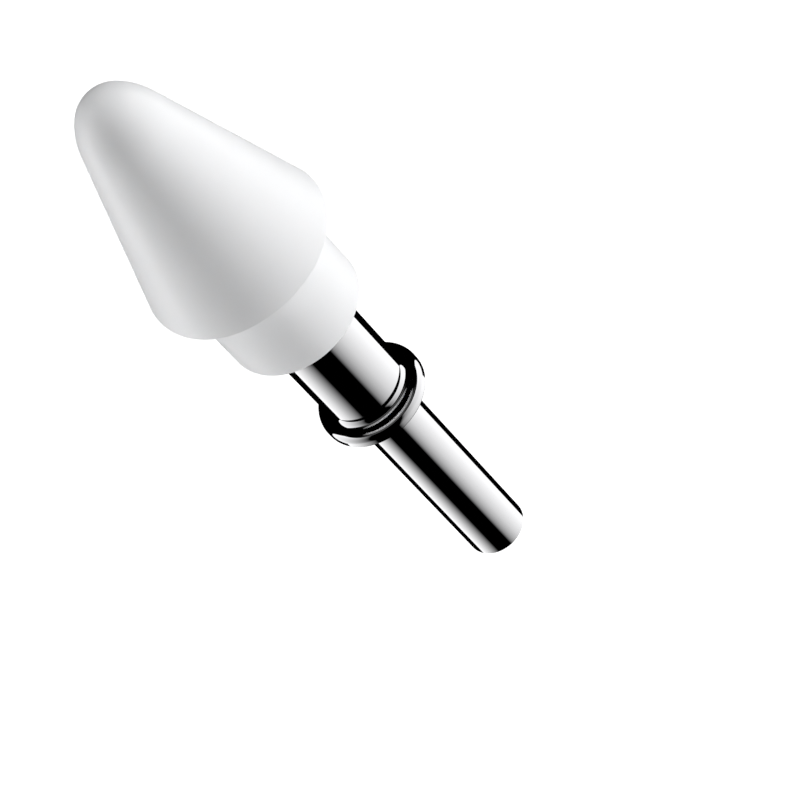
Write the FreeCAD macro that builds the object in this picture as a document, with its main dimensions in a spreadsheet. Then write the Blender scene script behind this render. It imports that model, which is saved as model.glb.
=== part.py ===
"""Plug-in nib of a stylus pen: a white moulded tip on a polished turned steel stem.

Millimetres. The nib's axis is Z and +Z points to the writing end. The origin lies on the axis,
in the plane of the flange's underside, which is the face that stops the nib in its socket.
"""
import FreeCAD, Part
import math
import os
import Sketcher

# How closely an edge's radius and height have to match to be the rim that is meant.
MATCH = 1e-6

# The pair of numbers by which a sketch knows its own origin point.
ORIGIN_POINT = (-1, 1)

DIMENSIONS = {
    # Thin shaft that plugs into the socket.
    "shaft_diameter": 1.84,
    "shaft_length": 8.0,
    "shaft_chamfer": 0.25,
    # Flange that stops the nib, rounded over on the side that shows. It stands out past the barrel.
    "flange_reach": 0.365,
    "flange_thickness": 0.42,
    "flange_top_round": 0.21,
    "flange_under_round": 0.05,
    # Relief turned into the barrel's foot, above the flange.
    "neck_depth": 0.14,
    "neck_length": 0.45,
    "neck_fillet": 0.235,
    # Barrel of the stem: the stretch in view, then the stretch held in the collar.
    "barrel_diameter": 2.54,
    "barrel_show": 3.77,
    "barrel_seat": 1.2,
    "barrel_rim_round": 0.04,
    "barrel_foot_flat": 0.02,
    # Spigot that the tip is moulded round, up to close behind the writing point.
    "spigot_diameter": 1.5,
    "spigot_length": 7.2,
    "spigot_chamfer": 0.35,
    # Retaining grooves round the spigot.
    "groove_depth": 0.2,
    "groove_width": 0.45,
    "groove_start": 0.7,
    "groove_pitch": 1.2,
    "groove_count": 2,
    # Collar of the tip, the narrower step under the cone.
    "collar_diameter": 4.06,
    "collar_length": 3.1,
    "collar_edge_round": 0.05,
    # Writing cone of the tip, which runs over a wide arc into its round point.
    "cone_diameter": 5.54,
    "cone_length": 7.04,
    "cone_edge_round": 0.06,
    "cone_end_radius": 2.79,
    "point_diameter": 1.7,
    "point_radius": 1.04,
}

# Flange and neck follow the barrel, and the fillet above the neck takes what its rim's round leaves.
FLANGE_DIAMETER = "Sizes.barrel_diameter + 2 * Sizes.flange_reach"
NECK_DIAMETER = "Sizes.barrel_diameter - 2 * Sizes.neck_depth"
NECK_TOP_FILLET = "Sizes.neck_depth - Sizes.barrel_rim_round - Sizes.barrel_foot_flat"

# Heights of the stem's shoulders above the flange's underside.
FLANGE_TOP = "Sizes.flange_thickness"
BARREL_FOOT = f"{FLANGE_TOP} + Sizes.neck_length"
COLLAR_END = f"{BARREL_FOOT} + Sizes.barrel_show"
BARREL_TOP = f"{COLLAR_END} + Sizes.barrel_seat"
SPIGOT_TOP = f"{BARREL_TOP} + Sizes.spigot_length"

# The turned steps of the stem from its foot up: name, diameter, length.
STEM_STEPS = [
    ("shaft", "Sizes.shaft_diameter", "Sizes.shaft_length"),
    ("flange", FLANGE_DIAMETER, "Sizes.flange_thickness"),
    ("neck", NECK_DIAMETER, "Sizes.neck_length"),
    ("barrel", "Sizes.barrel_diameter", "Sizes.barrel_show + Sizes.barrel_seat"),
    ("spigot", "Sizes.spigot_diameter", "Sizes.spigot_length"),
]


def add_sizes(document):
    """The spreadsheet of driving dimensions: a name and a value in each row."""
    sheet = document.addObject("Spreadsheet::Sheet", "Sizes")
    for row, (alias, value) in enumerate(DIMENSIONS.items(), start=1):
        sheet.set(f"A{row}", alias)
        sheet.set(f"B{row}", str(value))
        sheet.setAlias(f"B{row}", alias)
    document.recompute()


def new_body(document, name):
    return document.addObject("PartDesign::Body", name)


def new_sketch(body, name):
    """A sketch in the body's XZ plane: its across is the radius and its up is the height."""
    sketch = body.newObject("Sketcher::SketchObject", name)
    plane = next(item for item in body.Origin.OriginFeatures if item.Role == "XZ_Plane")
    sketch.AttachmentSupport = [(plane, "")]
    sketch.MapMode = "FlatFace"
    return sketch


def dimension(sketch, kind, expression, *where):
    """A sketch dimension that follows the sheet."""
    index = sketch.addConstraint(Sketcher.Constraint(kind, *where, sketch.evalExpression(expression)))
    sketch.setExpression(f"Constraints[{index}]", expression)


def closed_lines(sketch, corners):
    """Straight lines through the corners and back to the first, joined end to end."""
    points = [FreeCAD.Vector(radius, height, 0) for radius, height in corners]
    lines = [
        sketch.addGeometry(Part.LineSegment(start, end), False)
        for start, end in zip(points, points[1:] + points[:1])
    ]
    for line, following in zip(lines, lines[1:] + lines[:1]):
        sketch.addConstraint(Sketcher.Constraint("Coincident", line, 2, following, 1))
    return lines


def stem_section(body):
    """Half section of the turned stem: one upright wall for each step, joined by level shoulders."""
    sketch = new_sketch(body, "StemSection")
    height = -sketch.evalExpression("Sizes.shaft_length")
    corners = [(0, height)]
    for _, diameter, length in STEM_STEPS:
        radius = sketch.evalExpression(diameter) / 2
        corners.append((radius, height))
        height += sketch.evalExpression(length)
        corners.append((radius, height))
    corners.append((0, height))
    lines = closed_lines(sketch, corners)
    shoulders = lines[0:-1:2]
    walls = lines[1:-1:2]
    axis = lines[-1]
    for shoulder in shoulders:
        sketch.addConstraint(Sketcher.Constraint("Horizontal", shoulder))
    for wall in walls:
        sketch.addConstraint(Sketcher.Constraint("Vertical", wall))
    for end in (1, 2):
        sketch.addConstraint(Sketcher.Constraint("Vertical", *ORIGIN_POINT, axis, end))
    dimension(sketch, "DistanceY", "-Sizes.shaft_length", *ORIGIN_POINT, shoulders[0], 1)
    for (_, diameter, length), wall in zip(STEM_STEPS, walls):
        dimension(sketch, "DistanceX", f"({diameter}) / 2", *ORIGIN_POINT, wall, 1)
        dimension(sketch, "DistanceY", length, wall, 1, wall, 2)
    return sketch


def groove_section(body):
    """Half section of the lowest retaining groove, open to the outside of the spigot."""
    sketch = new_sketch(body, "GrooveSection")
    floor = "Sizes.spigot_diameter / 2 - Sizes.groove_depth"
    mouth = "Sizes.spigot_diameter / 2 + Sizes.groove_depth"
    foot = f"{BARREL_TOP} + Sizes.groove_start"
    low = sketch.evalExpression(foot)
    high = low + sketch.evalExpression("Sizes.groove_width")
    inner = sketch.evalExpression(floor)
    outer = sketch.evalExpression(mouth)
    corners = [(inner, low), (outer, low), (outer, high), (inner, high)]
    bottom, outside, top, inside = closed_lines(sketch, corners)
    for level in (bottom, top):
        sketch.addConstraint(Sketcher.Constraint("Horizontal", level))
    for upright in (outside, inside):
        sketch.addConstraint(Sketcher.Constraint("Vertical", upright))
    dimension(sketch, "DistanceX", floor, *ORIGIN_POINT, bottom, 1)
    dimension(sketch, "DistanceX", mouth, *ORIGIN_POINT, bottom, 2)
    dimension(sketch, "DistanceY", foot, *ORIGIN_POINT, bottom, 1)
    dimension(sketch, "DistanceY", "Sizes.groove_width", outside, 1, outside, 2)
    return sketch


def tip_section(body):
    """Half section of the tip above the collar's end: collar, shoulder, cone and round point.

    The point is an arc about the axis. The cone's side is the line that leaves the shoulder's
    edge, and the wide arc between the two meets both without a corner.
    """
    sketch = new_sketch(body, "TipSection")
    collar = sketch.evalExpression("Sizes.collar_diameter") / 2
    cone = sketch.evalExpression("Sizes.cone_diameter") / 2
    shoulder_height = sketch.evalExpression("Sizes.collar_length")
    wide = sketch.evalExpression("Sizes.cone_end_radius")
    point = sketch.evalExpression("Sizes.point_radius")
    end_height = shoulder_height + sketch.evalExpression("Sizes.cone_length")
    centre = FreeCAD.Vector(0, end_height - point, 0)
    meeting = math.acos(sketch.evalExpression("Sizes.point_diameter") / 2 / point)
    wide_centre = centre - (wide - point) * FreeCAD.Vector(math.cos(meeting), math.sin(meeting), 0)
    leaving = meeting / 2
    corners = [
        (0, 0),
        (collar, 0),
        (collar, shoulder_height),
        (cone, shoulder_height),
        (wide_centre.x + wide * math.cos(leaving), wide_centre.y + wide * math.sin(leaving)),
    ]
    places = [FreeCAD.Vector(radius, height, 0) for radius, height in corners]
    foot, wall, shoulder, side = [
        sketch.addGeometry(Part.LineSegment(start, end), False) for start, end in zip(places, places[1:])
    ]
    wide_circle = Part.Circle(wide_centre, FreeCAD.Vector(0, 0, 1), wide)
    wide_arc = sketch.addGeometry(Part.ArcOfCircle(wide_circle, leaving, meeting), False)
    circle = Part.Circle(centre, FreeCAD.Vector(0, 0, 1), point)
    arc = sketch.addGeometry(Part.ArcOfCircle(circle, meeting, math.pi / 2), False)
    axis = sketch.addGeometry(Part.LineSegment(FreeCAD.Vector(0, end_height, 0), places[0]), False)
    for line, following in ((foot, wall), (wall, shoulder), (shoulder, side), (arc, axis), (axis, foot)):
        sketch.addConstraint(Sketcher.Constraint("Coincident", line, 2, following, 1))
    sketch.addConstraint(Sketcher.Constraint("Tangent", side, 2, wide_arc, 1))
    sketch.addConstraint(Sketcher.Constraint("Tangent", wide_arc, 2, arc, 1))
    sketch.addConstraint(Sketcher.Constraint("Coincident", axis, 2, *ORIGIN_POINT))
    sketch.addConstraint(Sketcher.Constraint("Vertical", *ORIGIN_POINT, axis, 1))
    sketch.addConstraint(Sketcher.Constraint("Vertical", *ORIGIN_POINT, arc, 3))
    for level in (foot, shoulder):
        sketch.addConstraint(Sketcher.Constraint("Horizontal", level))
    sketch.addConstraint(Sketcher.Constraint("Vertical", wall))
    dimension(sketch, "DistanceX", "Sizes.collar_diameter / 2", *ORIGIN_POINT, wall, 1)
    dimension(sketch, "DistanceY", "Sizes.collar_length", wall, 1, wall, 2)
    dimension(sketch, "DistanceX", "Sizes.cone_diameter / 2", *ORIGIN_POINT, side, 1)
    dimension(sketch, "Radius", "Sizes.cone_end_radius", wide_arc)
    dimension(sketch, "DistanceX", "Sizes.point_diameter / 2", *ORIGIN_POINT, arc, 1)
    dimension(sketch, "Radius", "Sizes.point_radius", arc)
    dimension(sketch, "DistanceY", "Sizes.collar_length + Sizes.cone_length", *ORIGIN_POINT, arc, 2)
    return sketch


def full_turn(body, kind, name, sketch):
    """The sketch turned once round the height axis."""
    feature = body.newObject(kind, name)
    feature.Profile = sketch
    feature.ReferenceAxis = (sketch, ["V_Axis"])
    feature.Angle = 360
    sketch.Visibility = False
    body.Document.recompute()
    return feature


def rim(feature, diameter, height):
    """Names of the feature's edges that are circles of this diameter at this height."""
    radius = feature.evalExpression(diameter) / 2
    level = feature.evalExpression(height)
    names = []
    for number, edge in enumerate(feature.Shape.Edges, start=1):
        if edge.Degenerated or not isinstance(edge.Curve, Part.Circle):
            continue
        if abs(edge.Curve.Radius - radius) < MATCH and abs(edge.Curve.Center.z - level) < MATCH:
            names.append(f"Edge{number}")
    return names


def round_rim(body, name, diameter, height, radius):
    """A fillet of the body's last feature along one rim."""
    base = body.Tip
    fillet = body.newObject("PartDesign::Fillet", name)
    fillet.Base = (base, rim(base, diameter, height))
    fillet.setExpression("Radius", radius)
    body.Document.recompute()


def chamfer_rim(body, name, diameter, height, size):
    """A chamfer of the body's last feature along one rim."""
    base = body.Tip
    chamfer = body.newObject("PartDesign::Chamfer", name)
    chamfer.Base = (base, rim(base, diameter, height))
    chamfer.setExpression("Size", size)
    body.Document.recompute()


def add_stem(document):
    """Steel stem turned in one piece: shaft, flange, neck, barrel and grooved spigot."""
    body = new_body(document, "Stem")
    body.Label = "stem"
    full_turn(body, "PartDesign::Revolution", "TurnedBar", stem_section(body))
    groove = full_turn(body, "PartDesign::Groove", "RetainingGroove", groove_section(body))
    rows = body.newObject("PartDesign::LinearPattern", "RetainingGrooves")
    rows.Originals = [groove]
    rows.Direction = (groove.Profile[0], ["V_Axis"])
    rows.setExpression("Length", "Sizes.groove_pitch * (Sizes.groove_count - 1)")
    rows.setExpression("Occurrences", "Sizes.groove_count")
    body.Tip = rows
    document.recompute()
    round_rim(body, "FlangeTopRound", FLANGE_DIAMETER, FLANGE_TOP, "Sizes.flange_top_round")
    round_rim(body, "FlangeUnderRound", FLANGE_DIAMETER, "0", "Sizes.flange_under_round")
    round_rim(body, "NeckFillet", NECK_DIAMETER, FLANGE_TOP, "Sizes.neck_fillet")
    round_rim(body, "NeckTopFillet", NECK_DIAMETER, BARREL_FOOT, NECK_TOP_FILLET)
    round_rim(body, "BarrelRimRound", "Sizes.barrel_diameter", BARREL_FOOT, "Sizes.barrel_rim_round")
    chamfer_rim(body, "SpigotChamfer", "Sizes.spigot_diameter", SPIGOT_TOP, "Sizes.spigot_chamfer")
    chamfer_rim(body, "ShaftChamfer", "Sizes.shaft_diameter", "-Sizes.shaft_length", "Sizes.shaft_chamfer")
    return body


def add_tip(document, stem):
    """White tip moulded round the stem, so its inside is the stem's own form."""
    blank = new_body(document, "TipBlank")
    full_turn(blank, "PartDesign::Revolution", "CollarAndCone", tip_section(blank))
    round_rim(blank, "CollarEdgeRound", "Sizes.collar_diameter", "0", "Sizes.collar_edge_round")
    round_rim(blank, "ConeEdgeRound", "Sizes.cone_diameter", "Sizes.collar_length", "Sizes.cone_edge_round")
    blank.setExpression(".Placement.Base.z", COLLAR_END)
    tip = document.addObject("Part::Cut", "Tip")
    tip.Label = "tip"
    tip.Base = blank
    tip.Tool = stem
    document.recompute()
    return tip


def check(document, parts):
    """Stops on a failed feature, a broken shape or a sub-part that isn't one solid."""
    for item in document.Objects:
        if {"Invalid", "Error"} & set(item.State):
            raise RuntimeError(f"{item.Name} failed: {item.State}")
    for part in parts:
        if part.Shape.isNull() or not part.Shape.isValid():
            raise RuntimeError(f"{part.Label} has no valid shape")
        if len(part.Shape.Solids) != 1:
            raise RuntimeError(f"{part.Label} has {len(part.Shape.Solids)} solids")


def main():
    document = FreeCAD.newDocument("StylusNib")
    add_sizes(document)
    stem = add_stem(document)
    tip = add_tip(document, stem)
    check(document, (stem, tip))
    os.makedirs("parts", exist_ok=True)
    for part in (stem, tip):
        part.Shape.exportStep(f"parts/{part.Label}.step")
        print(f"{part.Label}: {part.Shape.Volume:.4f} mm3, {len(part.Shape.Faces)} faces")


main()
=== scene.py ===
"""Looks of the stylus pen nib: fine turned meshes, their materials, a small studio and the camera."""
import math
import bmesh
import bpy
from mathutils import Matrix, Vector


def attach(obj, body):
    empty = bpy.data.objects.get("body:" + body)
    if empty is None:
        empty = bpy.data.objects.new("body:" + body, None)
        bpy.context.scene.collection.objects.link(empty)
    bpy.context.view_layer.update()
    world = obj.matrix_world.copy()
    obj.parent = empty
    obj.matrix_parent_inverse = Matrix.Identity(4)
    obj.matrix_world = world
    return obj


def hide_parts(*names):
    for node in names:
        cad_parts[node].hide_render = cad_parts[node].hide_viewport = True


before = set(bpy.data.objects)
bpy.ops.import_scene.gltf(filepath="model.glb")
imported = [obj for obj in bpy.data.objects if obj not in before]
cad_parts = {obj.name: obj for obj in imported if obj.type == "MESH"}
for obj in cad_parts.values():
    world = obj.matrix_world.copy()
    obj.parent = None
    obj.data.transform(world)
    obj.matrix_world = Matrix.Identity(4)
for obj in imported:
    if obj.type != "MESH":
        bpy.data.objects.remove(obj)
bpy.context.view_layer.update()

MM = 0.001

# Sizes of the nib in millimetres, as in the part's sheet. Heights count from the flange's underside.
SHAFT_RADIUS = 0.92
SHAFT_LENGTH = 8.0
SHAFT_CHAMFER = 0.25
FLANGE_REACH = 0.365
FLANGE_THICKNESS = 0.42
FLANGE_TOP_ROUND = 0.21
FLANGE_UNDER_ROUND = 0.05
NECK_DEPTH = 0.14
NECK_LENGTH = 0.45
NECK_FILLET = 0.235
BARREL_RADIUS = 1.27
BARREL_SHOW = 3.77
BARREL_SEAT = 1.2
BARREL_RIM_ROUND = 0.04
BARREL_FOOT_FLAT = 0.02
SPIGOT_RADIUS = 0.75
SPIGOT_LENGTH = 7.2
SPIGOT_CHAMFER = 0.35
GROOVE_DEPTH = 0.2
GROOVE_WIDTH = 0.45
GROOVE_START = 0.7
GROOVE_PITCH = 1.2
GROOVE_COUNT = 2
COLLAR_RADIUS = 2.03
COLLAR_LENGTH = 3.1
COLLAR_EDGE_ROUND = 0.05
CONE_RADIUS = 2.77
CONE_LENGTH = 7.04
CONE_EDGE_ROUND = 0.06
CONE_END_RADIUS = 2.79
POINT_EDGE = 0.85
POINT_RADIUS = 1.04

FLANGE_RADIUS = BARREL_RADIUS + FLANGE_REACH
NECK_RADIUS = BARREL_RADIUS - NECK_DEPTH
NECK_TOP_FILLET = NECK_DEPTH - BARREL_RIM_ROUND - BARREL_FOOT_FLAT
BARREL_FOOT = FLANGE_THICKNESS + NECK_LENGTH
COLLAR_END = BARREL_FOOT + BARREL_SHOW
BARREL_TOP = COLLAR_END + BARREL_SEAT
SPIGOT_TOP = BARREL_TOP + SPIGOT_LENGTH
CONE_BASE = COLLAR_END + COLLAR_LENGTH
POINT_TOP = CONE_BASE + CONE_LENGTH

# Fineness of the turned meshes.
SEGMENTS = 256
ARC_STEP = math.radians(3)
SUPPORT = 0.004
SHARP_ANGLE = math.radians(30)

# Materials. Widths and heights are in millimetres, and a gloss is a range of roughness.
PLASTIC_COLOUR = (0.87, 0.875, 0.885, 1)
PLASTIC_GLOSS = (0.36, 0.44)
PLASTIC_GLOSS_WIDTH = 0.5
PLASTIC_GRAIN_WIDTH = 0.06
PLASTIC_GRAIN_HEIGHT = 0.001
PLASTIC_GRAIN_STRENGTH = 0.15
PLASTIC_IOR = 1.48
PLASTIC_DEPTH_WEIGHT = 0.2
PLASTIC_DEPTH = 0.3
PLASTIC_DEPTH_COLOUR = (1.0, 0.95, 0.9)
STEEL_COLOUR = (0.75, 0.75, 0.76, 1)
STEEL_GLOSS = (0.015, 0.04)
STEEL_GLOSS_WIDTH = 0.05
STEEL_RING_WIDTH = 0.04
STEEL_RING_HEIGHT = 0.0002
STEEL_RING_STRENGTH = 0.05
STEEL_RING_STRETCH = 0.02
NOISE_DETAIL = 2
NOISE_MIDDLE = (0.3, 0.7)

# Camera: how far it looks down, how far the picture is turned, its focal length in pixels of the
# 800 x 800 picture, and where the middle of the cone's base lies in that picture.
PICTURE = 800
CAMERA_ELEVATION = math.radians(47.41)
CAMERA_ROLL = math.radians(42.9)
FOCAL_PIXELS = 3223
PIXEL_AT_BASE = 0.02624
BASE_PIXEL = (236.4, 250.43)
SENSOR = 36.0
NEAREST = 0.01
FARTHEST = 2.0

# Studio. Azimuth 0 is the camera's side and 90 is +X. Lamps are (name, azimuth, elevation, watts), and
# the floor and the world are white where they are seen.
LAMP_DISTANCE = 0.3
LAMP_AIM = 6 * MM
LAMP_SIZE = 0.12
LAMPS = [
    ("right", 75, 5, 0.57),
    ("right_rear", 105, 5, 0.15),
    ("right_low", 45, -20, 0.27),
    ("right_top", 135, 55, 0.16),
    ("left_low", -105, -20, 0.4),
    ("left_top", -135, 55, 0.26),
    ("front", -45, 30, 0.35),
]
WORLD_GLOW = 0.98
FLOOR_HEIGHT = -0.15
FLOOR_HALF_WIDTH = 3.0
FLOOR_COLOUR = 0.8
FLOOR_GLOW = 0.85

# Cards that the steel mirrors. A shade follows stops from a card's inner to its outer edge, and the
# inner edge of the right card leans, so it is given as (elevation, azimuth) stops. The arches
# overhead are (name, lower elevation, upper elevation, azimuth of either end, shade), and fade to
# their ends.
CARD_COLUMNS = 120
TENT_RADIUS = 0.092
CARD_RADIUS = 0.09
CARD_STRENGTH = 1.33
MIRRORED_TWICE = 2
LEFT_CARD = {
    "inner": [(-54, -56), (45, -56)],
    "outer": -121,
    "shades": [(0, 0), (0.34, 0.4), (0.6, 0.7), (0.94, 1), (1, 1)],
}
RIGHT_CARD = {
    "inner": [(-54, -2), (-48, -2), (-10, 5), (5, 9), (34, 13)],
    "outer": 118,
    "shades": [(0, 0), (0.08, 0.25), (0.19, 0.45), (0.34, 0.65), (0.51, 0.8), (0.76, 0.98), (1, 1)],
}
ARCH_FADE = 0.15
ARCHES = [("low_arch", 46, 57, 95, 0.07), ("high_arch", 64, 90, 150, 0.24)]


def arc(centre, radius, start, end):
    """Points of an arc in the half section, as (radius, height), from one angle to the other."""
    count = max(2, round(abs(end - start) / ARC_STEP))
    angles = [start + (end - start) * i / count for i in range(count + 1)]
    return [centre + radius * Vector((math.cos(a), math.sin(a))) for a in angles]


def rounded(corners):
    """The outline through (radius, height, round) corners, with an arc at each that has a round.

    Each straight run gets a point close to either end, so that its shading stays straight.
    """
    points = [Vector(corner[:2]) for corner in corners]
    outline = [points[0]]
    for before, here, after, corner in zip(points, points[1:], points[2:], corners[1:]):
        size = corner[2]
        to_before = (before - here).normalized()
        to_after = (after - here).normalized()
        if size == 0:
            outline += [here + to_before * SUPPORT, here, here + to_after * SUPPORT]
            continue
        half = to_before.angle(to_after) / 2
        centre = here + (to_before + to_after).normalized() * (size / math.sin(half))
        first = here + to_before * (size / math.tan(half)) - centre
        last = here + to_after * (size / math.tan(half)) - centre
        start = math.atan2(first.y, first.x)
        turn = (math.atan2(last.y, last.x) - start + math.pi) % math.tau - math.pi
        bend = arc(centre, size, start, start + turn)
        outline += [bend[0] + to_before * SUPPORT, *bend, bend[-1] + to_after * SUPPORT]
    outline.append(points[-1])
    return outline


def lathe(name, outline):
    """A mesh object turned round Z from a half section in millimetres that starts and ends on the axis.

    A point on the axis is a single vertex, and the faces that meet it are triangles.
    """
    mesh = bmesh.new()
    rings = []
    for radius, height in outline:
        if radius < 1e-6:
            rings.append([mesh.verts.new((0, 0, height * MM))])
            continue
        ring = []
        for i in range(SEGMENTS):
            angle = math.tau * i / SEGMENTS
            x = radius * math.cos(angle)
            y = radius * math.sin(angle)
            ring.append(mesh.verts.new((x * MM, y * MM, height * MM)))
        rings.append(ring)
    for low, high in zip(rings, rings[1:]):
        for i in range(SEGMENTS):
            j = (i + 1) % SEGMENTS
            corners = [low[i % len(low)], low[j % len(low)], high[j % len(high)], high[i % len(high)]]
            face = mesh.faces.new(dict.fromkeys(corners))
            face.smooth = True
    data = bpy.data.meshes.new(name)
    mesh.to_mesh(data)
    mesh.free()
    data.set_sharp_from_angle(angle=SHARP_ANGLE)
    piece = bpy.data.objects.new(name, data)
    bpy.context.scene.collection.objects.link(piece)
    return piece


def spigot_corners():
    """Corners of the grooved spigot from its foot to its nose, for the stem and the tip's inside."""
    corners = [(SPIGOT_RADIUS, BARREL_TOP, 0)]
    floor = SPIGOT_RADIUS - GROOVE_DEPTH
    for i in range(GROOVE_COUNT):
        low = BARREL_TOP + GROOVE_START + i * GROOVE_PITCH
        high = low + GROOVE_WIDTH
        corners += [(SPIGOT_RADIUS, low, 0), (floor, low, 0)]
        corners += [(floor, high, 0), (SPIGOT_RADIUS, high, 0)]
    return corners + [
        (SPIGOT_RADIUS, SPIGOT_TOP - SPIGOT_CHAMFER, 0),
        (SPIGOT_RADIUS - SPIGOT_CHAMFER, SPIGOT_TOP, 0),
        (0, SPIGOT_TOP, 0),
    ]


def stem_outline():
    """Half section of the steel stem, from the shaft's end up to the spigot's nose."""
    return rounded([
        (0, -SHAFT_LENGTH, 0),
        (SHAFT_RADIUS - SHAFT_CHAMFER, -SHAFT_LENGTH, 0),
        (SHAFT_RADIUS, SHAFT_CHAMFER - SHAFT_LENGTH, 0),
        (SHAFT_RADIUS, 0, 0),
        (FLANGE_RADIUS, 0, FLANGE_UNDER_ROUND),
        (FLANGE_RADIUS, FLANGE_THICKNESS, FLANGE_TOP_ROUND),
        (NECK_RADIUS, FLANGE_THICKNESS, NECK_FILLET),
        (NECK_RADIUS, BARREL_FOOT, NECK_TOP_FILLET),
        (BARREL_RADIUS, BARREL_FOOT, BARREL_RIM_ROUND),
        (BARREL_RADIUS, BARREL_TOP, 0),
        *spigot_corners(),
    ])


def tip_outline():
    """Half section of the white tip, whose inside wall has the spigot's own form.

    It starts at the spigot's nose and runs down the inside to the collar's end, then up the outside
    to the point. The wide arc between the cone's side and the round point meets both without a
    corner.
    """
    centre = Vector((0, POINT_TOP - POINT_RADIUS))
    meeting = math.acos(POINT_EDGE / POINT_RADIUS)
    outward = Vector((math.cos(meeting), math.sin(meeting)))
    wide_centre = centre - (CONE_END_RADIUS - POINT_RADIUS) * outward
    corner = Vector((CONE_RADIUS, CONE_BASE)) - wide_centre
    leaving = math.atan2(corner.y, corner.x) + math.acos(CONE_END_RADIUS / corner.length)
    wide = arc(wide_centre, CONE_END_RADIUS, leaving, meeting)
    point = arc(centre, POINT_RADIUS, meeting, math.pi / 2)
    point[-1].x = 0
    side = Vector((-math.sin(leaving), math.cos(leaving)))
    outline = rounded([
        *reversed(spigot_corners()),
        (BARREL_RADIUS, BARREL_TOP, 0),
        (BARREL_RADIUS, COLLAR_END, 0),
        (COLLAR_RADIUS, COLLAR_END, COLLAR_EDGE_ROUND),
        (COLLAR_RADIUS, CONE_BASE, 0),
        (CONE_RADIUS, CONE_BASE, CONE_EDGE_ROUND),
        tuple(wide[0] - side * SUPPORT) + (0,),
    ])
    return outline + wide + point[1:]


def new_material(name):
    """A material with its node tree and its Principled shader."""
    material = bpy.data.materials.new(name)
    material.use_nodes = True
    tree = material.node_tree
    return material, tree, tree.nodes["Principled BSDF"]


def add_node(tree, kind, inputs):
    """A shader node with its named or numbered inputs set: a socket is linked, the rest are values."""
    made = tree.nodes.new(kind)
    for name, value in inputs.items():
        if isinstance(value, bpy.types.NodeSocket):
            tree.links.new(value, made.inputs[name])
        else:
            made.inputs[name].default_value = value
    return made


def add_noise(tree, place, width):
    """Noise between 0 and 1 whose features are about so many millimetres wide."""
    noise = add_node(tree, "ShaderNodeTexNoise", {
        "Vector": place, "Scale": 1 / (width * MM), "Detail": NOISE_DETAIL,
    })
    return noise.outputs["Fac"]


def add_range(tree, value, low, high):
    """Spreads the middle of a noise over a range."""
    spread = add_node(tree, "ShaderNodeMapRange", {
        "Value": value,
        "From Min": NOISE_MIDDLE[0],
        "From Max": NOISE_MIDDLE[1],
        "To Min": low,
        "To Max": high,
    })
    return spread.outputs["Result"]


def white_plastic():
    """Satin white moulding that light enters a little, with a softly varying gloss and a fine grain."""
    material, tree, shader = new_material("white_plastic")
    place = tree.nodes.new("ShaderNodeTexCoord").outputs["Object"]
    shader.inputs["Base Color"].default_value = PLASTIC_COLOUR
    gloss = add_range(tree, add_noise(tree, place, PLASTIC_GLOSS_WIDTH), *PLASTIC_GLOSS)
    tree.links.new(gloss, shader.inputs["Roughness"])
    grain = add_node(tree, "ShaderNodeBump", {
        "Strength": PLASTIC_GRAIN_STRENGTH,
        "Distance": PLASTIC_GRAIN_HEIGHT * MM,
        "Height": add_noise(tree, place, PLASTIC_GRAIN_WIDTH),
    })
    tree.links.new(grain.outputs["Normal"], shader.inputs["Normal"])
    shader.inputs["IOR"].default_value = PLASTIC_IOR
    shader.inputs["Subsurface Weight"].default_value = PLASTIC_DEPTH_WEIGHT
    shader.inputs["Subsurface Radius"].default_value = PLASTIC_DEPTH_COLOUR
    shader.inputs["Subsurface Scale"].default_value = PLASTIC_DEPTH * MM
    return material


def polished_steel():
    """Mirror-polished steel with the faint rings that turning and polishing leave round it."""
    material, tree, shader = new_material("polished_steel")
    place = tree.nodes.new("ShaderNodeTexCoord").outputs["Object"]
    flat = add_node(tree, "ShaderNodeMapping", {
        "Vector": place, "Scale": (STEEL_RING_STRETCH, STEEL_RING_STRETCH, 1),
    }).outputs["Vector"]
    gloss = add_range(tree, add_noise(tree, flat, STEEL_GLOSS_WIDTH), *STEEL_GLOSS)
    tree.links.new(gloss, shader.inputs["Roughness"])
    rings = add_node(tree, "ShaderNodeBump", {
        "Strength": STEEL_RING_STRENGTH,
        "Distance": STEEL_RING_HEIGHT * MM,
        "Height": add_noise(tree, flat, STEEL_RING_WIDTH),
    })
    tree.links.new(rings.outputs["Normal"], shader.inputs["Normal"])
    shader.inputs["Base Color"].default_value = STEEL_COLOUR
    shader.inputs["Metallic"].default_value = 1.0
    return material


def add_pieces():
    """The two pieces of the nib, each standing for its solid."""
    made = {
        "tip": (lathe("white_tip", tip_outline()), white_plastic()),
        "stem": (lathe("steel_stem", stem_outline()), polished_steel()),
    }
    for solid, (piece, material) in made.items():
        piece.data.materials.append(material)
        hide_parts(solid)
        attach(piece, "root")


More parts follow.
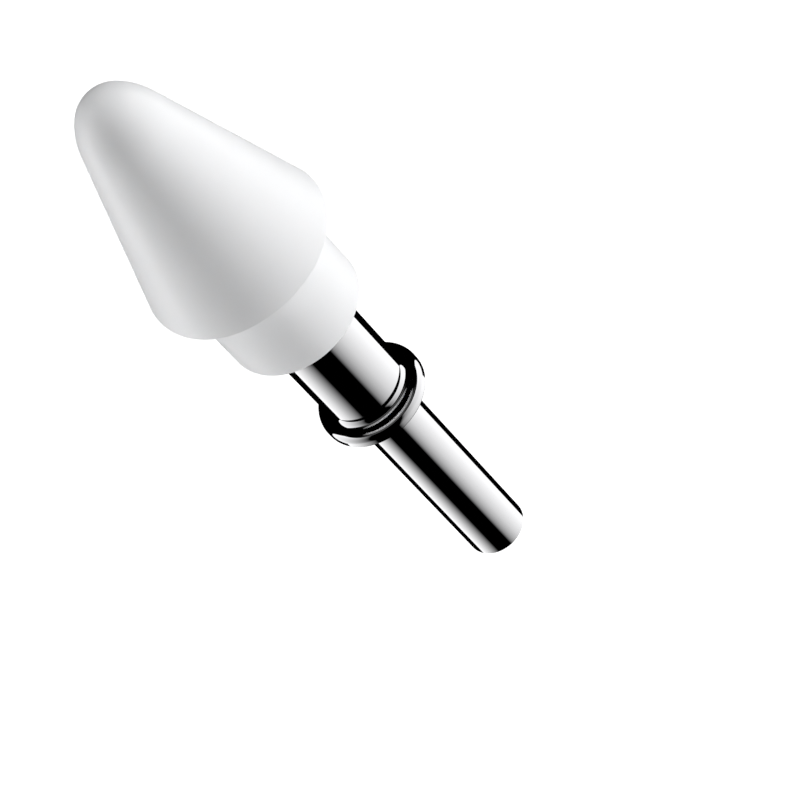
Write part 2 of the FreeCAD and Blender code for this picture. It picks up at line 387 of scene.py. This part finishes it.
def add_camera():
    """The camera, placed so that the nib lies in the picture as the photograph shows it."""
    down = CAMERA_ELEVATION
    forward = Vector((0, math.cos(down), -math.sin(down)))
    level_right = Vector((1, 0, 0))
    level_up = level_right.cross(forward)
    right = math.cos(CAMERA_ROLL) * level_right - math.sin(CAMERA_ROLL) * level_up
    up = math.sin(CAMERA_ROLL) * level_right + math.cos(CAMERA_ROLL) * level_up
    across = BASE_PIXEL[0] - PICTURE / 2
    below = BASE_PIXEL[1] - PICTURE / 2
    base = Vector((0, 0, CONE_BASE))
    place = base - PIXEL_AT_BASE * (across * right - below * up + FOCAL_PIXELS * forward)
    data = bpy.data.cameras.new("camera")
    data.sensor_width = SENSOR
    data.lens = FOCAL_PIXELS * SENSOR / PICTURE
    data.clip_start = NEAREST
    data.clip_end = FARTHEST
    camera = bpy.data.objects.new("camera", data)
    turn = Matrix((right, up, -forward)).transposed().to_4x4()
    camera.matrix_world = Matrix.Translation(place * MM) @ turn
    bpy.context.scene.collection.objects.link(camera)
    bpy.context.scene.camera = camera


def direction(azimuth, elevation):
    """Unit vector: azimuth 0 is the camera's side, 90 is +X, both in degrees."""
    a = math.radians(azimuth)
    e = math.radians(elevation)
    return Vector((math.sin(a) * math.cos(e), -math.cos(a) * math.cos(e), math.sin(e)))


def add_lamp(name, azimuth, elevation, power):
    """A round soft lamp that faces the nib."""
    data = bpy.data.lights.new(name, "AREA")
    data.shape = "DISK"
    data.size = LAMP_SIZE
    data.energy = power
    lamp = bpy.data.objects.new(name, data)
    toward = direction(azimuth, elevation)
    lamp.location = toward * LAMP_DISTANCE + Vector((0, 0, LAMP_AIM))
    lamp.rotation_mode = "QUATERNION"
    lamp.rotation_quaternion = toward.to_track_quat("Z", "Y")
    lamp.visible_glossy = False
    bpy.context.scene.collection.objects.link(lamp)


def glow_material():
    """Gives off the light that the card's vertices say, as far as it is mirrored once.

    What flange, neck and barrel mirror between them twice or more stays dark.
    """
    material = bpy.data.materials.new("card_glow")
    material.use_nodes = True
    tree = material.node_tree
    tree.nodes.clear()
    shade = tree.nodes.new("ShaderNodeAttribute")
    shade.attribute_name = "shade"
    path = tree.nodes.new("ShaderNodeLightPath")
    once = add_node(tree, "ShaderNodeMath", {0: path.outputs["Glossy Depth"], 1: MIRRORED_TWICE})
    once.operation = "LESS_THAN"
    strength = add_node(tree, "ShaderNodeMath", {0: once.outputs[0], 1: CARD_STRENGTH})
    strength.operation = "MULTIPLY"
    glow = add_node(tree, "ShaderNodeEmission", {
        "Color": shade.outputs["Color"], "Strength": strength.outputs[0],
    })
    output = tree.nodes.new("ShaderNodeOutputMaterial")
    tree.links.new(glow.outputs["Emission"], output.inputs["Surface"])
    return material


def blend(stops, place):
    """The value at a place on a list of (place, value) stops."""
    for (low, first), (high, last) in zip(stops, stops[1:]):
        if place <= high:
            return first + (last - first) * (place - low) / (high - low)
    return stops[-1][1]


def add_card(name, material, radius, inner, outer, shades):
    """A curved card round the nib, which only gloss sees, shaded from its inner to its outer edge."""
    low = inner[0][0]
    rise = inner[-1][0] - low
    mesh = bmesh.new()
    layer = mesh.verts.layers.float_color.new("shade")
    rows = []
    for j in range(rise + 1):
        edge = blend(inner, low + j)
        row = []
        for i in range(CARD_COLUMNS + 1):
            across = i / CARD_COLUMNS
            vertex = mesh.verts.new(direction(edge + (outer - edge) * across, low + j) * radius)
            shade = blend(shades, across)
            vertex[layer] = (shade, shade, shade, 1)
            row.append(vertex)
        rows.append(row)
    for lower, upper in zip(rows, rows[1:]):
        for i in range(CARD_COLUMNS):
            mesh.faces.new((lower[i], lower[i + 1], upper[i + 1], upper[i]))
    data = bpy.data.meshes.new(name)
    mesh.to_mesh(data)
    mesh.free()
    data.materials.append(material)
    card = bpy.data.objects.new(name, data)
    bpy.context.scene.collection.objects.link(card)
    card.visible_camera = False
    card.visible_diffuse = False
    card.visible_transmission = False
    card.visible_shadow = False


def seen_directly(tree):
    """1 for what the camera, gloss or glass sees, 0 for what lights the object."""
    path = tree.nodes.new("ShaderNodeLightPath")
    camera_or_gloss = add_node(tree, "ShaderNodeMath", {
        0: path.outputs["Is Camera Ray"], 1: path.outputs["Is Glossy Ray"],
    })
    camera_or_gloss.operation = "MAXIMUM"
    seen = add_node(tree, "ShaderNodeMath", {
        0: camera_or_gloss.outputs[0], 1: path.outputs["Is Transmission Ray"],
    })
    seen.operation = "MAXIMUM"
    return seen.outputs[0]


def add_world():
    """White where it is seen, and no light on the nib."""
    world = bpy.data.worlds.new("studio")
    bpy.context.scene.world = world
    world.use_nodes = True
    tree = world.node_tree
    tree.nodes.clear()
    strength = add_node(tree, "ShaderNodeMath", {0: seen_directly(tree), 1: WORLD_GLOW})
    strength.operation = "MULTIPLY"
    background = add_node(tree, "ShaderNodeBackground", {
        "Color": (1, 1, 1, 1), "Strength": strength.outputs[0],
    })
    output = tree.nodes.new("ShaderNodeOutputWorld")
    tree.links.new(background.outputs[0], output.inputs["Surface"])


def add_floor():
    """A pale floor below the nib. It takes shadows, and a glow that only shows makes it white."""
    mesh = bmesh.new()
    bmesh.ops.create_grid(mesh, x_segments=1, y_segments=1, size=FLOOR_HALF_WIDTH)
    data = bpy.data.meshes.new("floor")
    mesh.to_mesh(data)
    mesh.free()
    floor = bpy.data.objects.new("floor", data)
    floor.location.z = FLOOR_HEIGHT
    bpy.context.scene.collection.objects.link(floor)
    material, tree, shader = new_material("pale_floor")
    shader.inputs["Base Color"].default_value = (FLOOR_COLOUR, FLOOR_COLOUR, FLOOR_COLOUR, 1)
    shader.inputs["Roughness"].default_value = 1.0
    shader.inputs["Specular IOR Level"].default_value = 0.0
    shader.inputs["Emission Color"].default_value = (1, 1, 1, 1)
    glow = add_node(tree, "ShaderNodeMath", {0: seen_directly(tree), 1: FLOOR_GLOW})
    glow.operation = "MULTIPLY"
    tree.links.new(glow.outputs[0], shader.inputs["Emission Strength"])
    data.materials.append(material)


def add_stage():
    """White surroundings, soft lamps, and for the steel a dark cloth with cards and arches in it."""
    bpy.context.scene.view_settings.view_transform = "Standard"
    add_world()
    add_floor()
    for name, azimuth, elevation, power in LAMPS:
        add_lamp(name, azimuth, elevation, power)
    glow = glow_material()
    add_card("dark_tent", glow, TENT_RADIUS, [(-90, -180), (90, -180)], 180, [(0, 0), (1, 0)])
    add_card("left_card", glow, CARD_RADIUS, **LEFT_CARD)
    add_card("right_card", glow, CARD_RADIUS, **RIGHT_CARD)
    for name, low, high, end, shade in ARCHES:
        shades = [(0, 0), (ARCH_FADE, shade), (1 - ARCH_FADE, shade), (1, 0)]
        add_card(name, glow, CARD_RADIUS, [(low, -end), (high, -end)], end, shades)


add_pieces()
add_stage()
add_camera()
